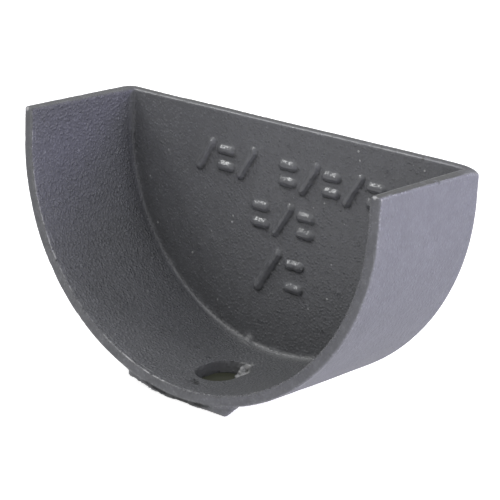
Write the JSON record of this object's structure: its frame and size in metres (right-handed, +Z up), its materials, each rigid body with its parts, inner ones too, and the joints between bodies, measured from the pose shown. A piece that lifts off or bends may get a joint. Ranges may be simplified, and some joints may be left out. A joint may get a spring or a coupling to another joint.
{
  "type": "gutter end cap",
  "caption": "Cast iron external end cap for a half round gutter: a U-shaped socket wall closed by a flat end plate, with an oval bolt hole in the sole.",
  "frame": {"origin": "under the middle of the casting, on the surface that it stands on", "axes": "+X across the gutter, +Y along the gutter from the open mouth to the end plate, +Z up"},
  "size_m": [0.1398, 0.05, 0.0797],
  "materials": {
    "primed_iron": "satin"
  },
  "bodies": {
    "root": {"end_cap": "primed_iron"}
  },
  "joints": []
}
